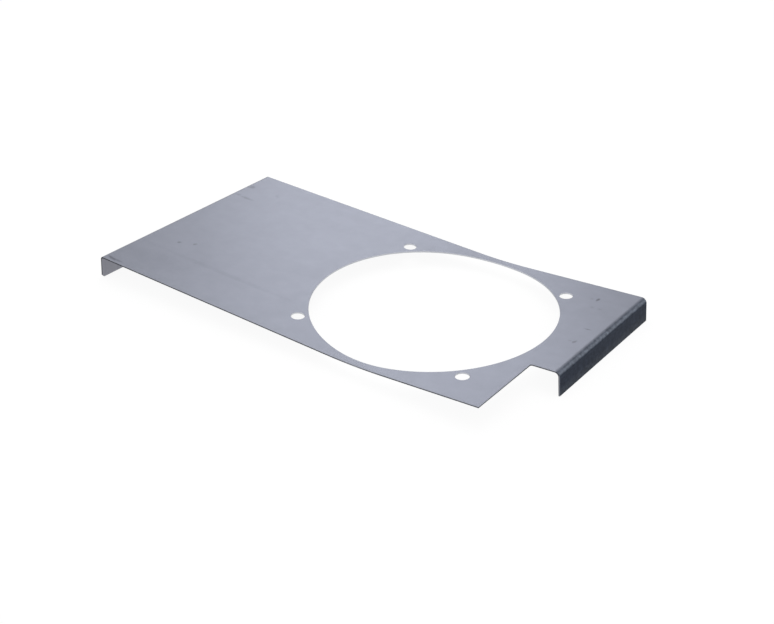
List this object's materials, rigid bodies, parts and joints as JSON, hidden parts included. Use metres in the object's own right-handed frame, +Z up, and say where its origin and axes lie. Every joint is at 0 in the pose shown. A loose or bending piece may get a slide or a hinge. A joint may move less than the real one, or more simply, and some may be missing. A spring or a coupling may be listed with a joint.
{
  "type": "side cover panel",
  "caption": "Folded steel side cover panel with a large round opening ringed by bolt holes, a turned-down flange at each end and a notched corner.",
  "frame": {"origin": "middle of the footprint, on the surface that the two flanges stand on", "axes": "+X along the panel towards its notched end, +Y across it away from the notch, +Z up, out of the covered side"},
  "size_m": [0.403, 0.214, 0.0199],
  "materials": {
    "steel_sheet": "cold-rolled mill finish with faint rolling streaks along the panel, press brake marks at the right fold and light handling scuffs"
  },
  "bodies": {
    "root": {"cover_panel": "steel_sheet"}
  },
  "joints": []
}
